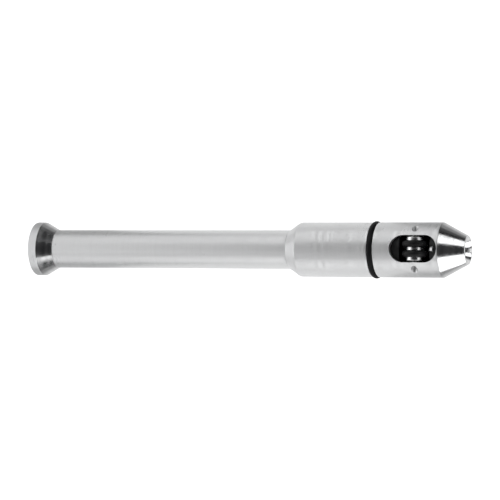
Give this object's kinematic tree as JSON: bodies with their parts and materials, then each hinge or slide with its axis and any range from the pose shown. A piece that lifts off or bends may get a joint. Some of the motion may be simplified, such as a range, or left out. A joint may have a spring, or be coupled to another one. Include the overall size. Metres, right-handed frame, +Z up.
{
  "type": "filler rod feed pen",
  "caption": "Slim metal pen that feeds a welding filler rod with a thumb roller set in a window in its head, with a flared tail, a seal ring and a conical nose.",
  "frame": {"origin": "middle of the pen's length, on the surface that the seal ring rests on, below the pen's axis", "axes": "+X along the pen out of the nose, +Z up out of the roller window, +Y across the pen along the roller's axle"},
  "size_m": [0.1694, 0.0208, 0.0217],
  "materials": {
    "blasted_aluminium": "fine bead blasted and clear anodised, satin silver",
    "polished_aluminium": "bright turned, with fine ring marks",
    "polished_spool": "bright polished",
    "black_rubber": "satin moulded nitrile rubber",
    "black_acetal": "machined black plastic with a slight sheen",
    "steel": "ground stainless steel",
    "screw_steel": "small socket grub screws, bright edges",
    "spring_steel": "drawn spring wire",
    "bronze": "oiled bearing bronze"
  },
  "bodies": {
    "body": {"tail_cap": "polished_aluminium", "handle_tube": "blasted_aluminium", "barrel": "blasted_aluminium", "seal_ring": "black_rubber", "head_shell": "blasted_aluminium", "nose_cone": "polished_aluminium", "roller_cradle": "black_acetal", "rear_guide": "black_acetal", "front_guide": "steel", "roller_axle": "steel", "roller_washer_left": "black_acetal", "roller_washer_right": "black_acetal", "axle_screw_left": "screw_steel", "axle_screw_right": "screw_steel", "pressure_spring_front": "spring_steel", "pressure_spring_rear": "spring_steel"},
    "thumb_roller": {"feed_roller": "polished_spool", "roller_tyre_left": "black_rubber", "roller_tyre_right": "black_rubber", "roller_bush_left": "bronze", "roller_bush_right": "bronze"},
    "pressure_carriage": {"pressure_carriage": "black_acetal", "idler_axle": "steel"},
    "idler_wheel": {"idler_wheel": "steel"}
  },
  "joints": [
    {"name": "thumb_roller_spin", "type": "hinge", "parent": "body", "child": "thumb_roller", "pos_m": [0.06675, 0, 0.0171], "axis": [0, 1, 0], "continuous": true},
    {"name": "carriage_slide", "type": "slide", "parent": "body", "child": "pressure_carriage", "axis": [0, 0, -1], "range_m": [0, 0.0021], "stiffness_N_per_m": 700, "springref_m": -0.0012, "deforming": ["pressure_spring_front", "pressure_spring_rear"]},
    {"name": "idler_spin", "type": "hinge", "parent": "pressure_carriage", "child": "idler_wheel", "pos_m": [0.06675, 0, 0.0098], "axis": [0, 1, 0], "continuous": true}
  ],
  "couplings": [
    {"joint": "idler_spin", "follows": "thumb_roller_spin", "ratio": -1.7885}
  ]
}
